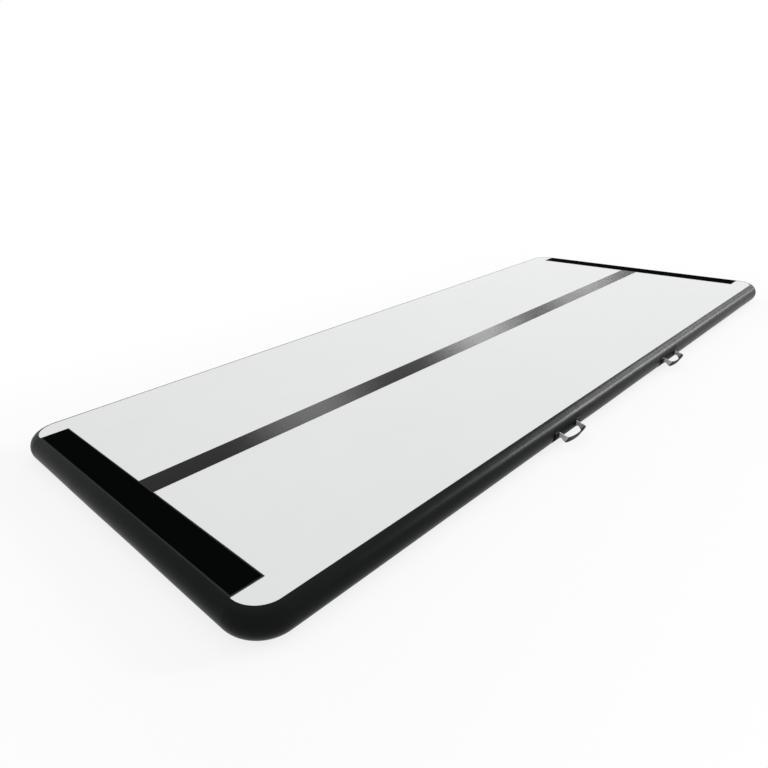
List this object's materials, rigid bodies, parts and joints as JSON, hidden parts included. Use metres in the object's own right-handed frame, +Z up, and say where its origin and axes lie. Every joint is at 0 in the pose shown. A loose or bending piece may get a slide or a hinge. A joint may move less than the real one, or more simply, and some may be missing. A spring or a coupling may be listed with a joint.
{
  "type": "air track mat",
  "caption": "Inflatable drop-stitch air track mat for tumbling, with bulging side walls, hook-and-loop joining strips, webbing carry handles and a capped push valve.",
  "frame": {"origin": "on the floor, under the middle of the mat", "axes": "+X along the mat to its far end, +Y to its left side where the valve is, +Z up"},
  "size_m": [3.9998, 1.5938, 0.102],
  "materials": {
    "deck_white": "satin coated cloth",
    "base_grey": "matt coated cloth",
    "drop_yarn": "spun yarn",
    "band_black": "matt coated cloth",
    "wall_black": "semi-gloss coated cloth",
    "join_tape": "woven tape",
    "join_pile": "loop pile",
    "join_hooks": "hooks",
    "stripe_grey": "satin print",
    "patch_black": "matt coated cloth",
    "webbing": "woven webbing",
    "valve_plastic": "moulded, satin",
    "valve_rubber": "moulded",
    "seal_rubber": "moulded",
    "tether_rubber": "moulded",
    "spring_steel": "drawn wire"
  },
  "bodies": {
    "mat": {"top_deck": "deck_white", "bottom_deck": "base_grey", "drop_threads": "drop_yarn", "inner_side_band": "band_black", "right_side_wall": "wall_black", "left_side_wall": "wall_black", "near_end_wall": "wall_black", "far_end_wall": "wall_black", "near_join_backing": "join_tape", "near_join_pile": "join_pile", "far_join_backing": "join_tape", "far_join_hooks": "join_hooks", "centre_stripe": "stripe_grey", "right_near_handle_patch": "patch_black", "right_near_handle_roots": "webbing", "right_far_handle_patch": "patch_black", "right_far_handle_roots": "webbing", "left_near_handle_patch": "patch_black", "left_near_handle_roots": "webbing", "left_far_handle_patch": "patch_black", "left_far_handle_roots": "webbing", "valve_body": "valve_plastic", "valve_gasket": "valve_rubber", "valve_doubler": "band_black", "valve_nut": "valve_plastic", "valve_spring": "spring_steel", "valve_tether": "tether_rubber"},
    "right_near_handle": {"right_near_handle_loop": "webbing"},
    "right_far_handle": {"right_far_handle_loop": "webbing"},
    "left_near_handle": {"left_near_handle_loop": "webbing"},
    "left_far_handle": {"left_far_handle_loop": "webbing"},
    "valve_plunger": {"valve_diaphragm": "valve_rubber", "valve_backing_plate": "valve_plastic", "valve_stem_clip": "spring_steel"},
    "valve_button": {"valve_stem": "valve_plastic"},
    "tether_ring": {"valve_tether_ring": "tether_rubber"},
    "cap": {"valve_cap": "valve_plastic", "valve_cap_seal": "seal_rubber"}
  },
  "joints": [
    {"name": "right_near_handle_swing", "type": "hinge", "parent": "mat", "child": "right_near_handle", "pos_m": [-0.5, -0.7652, 0.046], "axis": [-1, 0, 0], "range_deg": [-11.25, 103.75], "stiffness_Nm_per_rad": 0.15, "springref_deg": 1.15},
    {"name": "right_far_handle_swing", "type": "hinge", "parent": "mat", "child": "right_far_handle", "pos_m": [0.5, -0.7652, 0.046], "axis": [-1, 0, 0], "range_deg": [-11.25, 103.75], "stiffness_Nm_per_rad": 0.15, "springref_deg": 1.15},
    {"name": "left_near_handle_swing", "type": "hinge", "parent": "mat", "child": "left_near_handle", "pos_m": [-0.5, 0.7652, 0.046], "axis": [1, 0, 0], "range_deg": [-11.25, 103.75], "stiffness_Nm_per_rad": 0.15, "springref_deg": 1.15},
    {"name": "left_far_handle_swing", "type": "hinge", "parent": "mat", "child": "left_far_handle", "pos_m": [0.5, 0.7652, 0.046], "axis": [1, 0, 0], "range_deg": [-11.25, 103.75], "stiffness_Nm_per_rad": 0.15, "springref_deg": 1.15},
    {"name": "cap_pull", "type": "slide", "parent": "mat", "child": "tether_ring", "axis": [0, 1, 0], "range_m": [0, 0.03], "deforming": ["valve_tether"]},
    {"name": "cap_turn", "type": "hinge", "parent": "tether_ring", "child": "cap", "pos_m": [1.5, 0.76, 0.05], "axis": [0, 1, 0], "range_deg": [0, 180]},
    {"name": "valve_push", "type": "slide", "parent": "mat", "child": "valve_plunger", "axis": [0, -1, 0], "range_m": [0, 0.005], "stiffness_N_per_m": 300, "springref_m": -0.004, "deforming": ["valve_spring"]},
    {"name": "button_turn", "type": "hinge", "parent": "valve_plunger", "child": "valve_button", "pos_m": [1.5, 0.75, 0.05], "axis": [0, 1, 0], "range_deg": [0, 90]}
  ]
}
